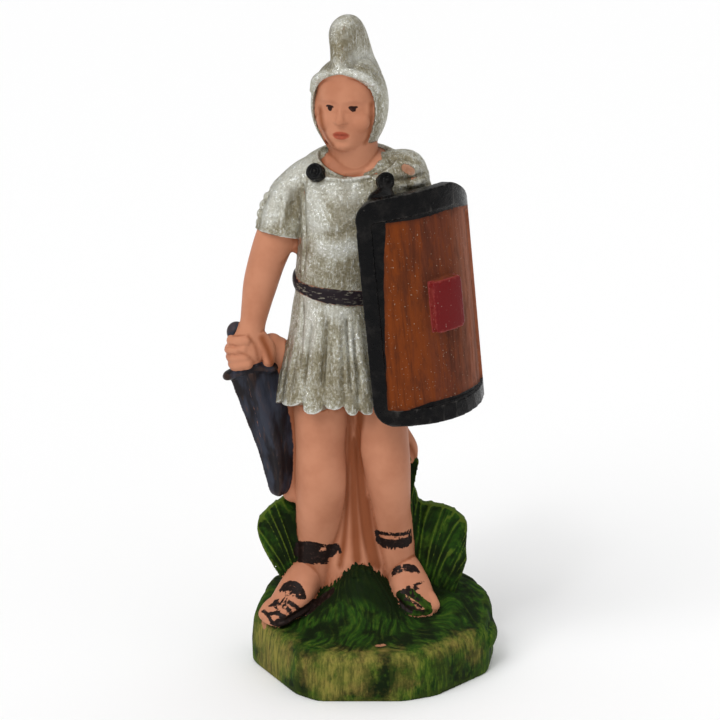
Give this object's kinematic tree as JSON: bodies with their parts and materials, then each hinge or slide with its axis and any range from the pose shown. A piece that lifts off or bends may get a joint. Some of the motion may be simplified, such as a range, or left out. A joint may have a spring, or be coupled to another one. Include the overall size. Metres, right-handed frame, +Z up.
{
  "type": "roman soldier figurine",
  "caption": "Small hand-painted plastic figurine of a standing Roman soldier with crested helmet, curved shield and sheathed dagger, moulded in one piece with its grassy base",
  "frame": {"origin": "on the table, at the middle of the flat underside of the base", "axes": "+Z up along the standing figure, -Y the way the figure faces, +X to the figure's left hand, where its shield is"},
  "size_m": [0.0417, 0.0316, 0.1003],
  "materials": {
    "painted_plastic": "satin flesh-coloured plastic, hand painted in silver, black, brown, crimson and green"
  },
  "bodies": {
    "root": {"roman_soldier_statue": "painted_plastic"}
  },
  "joints": []
}
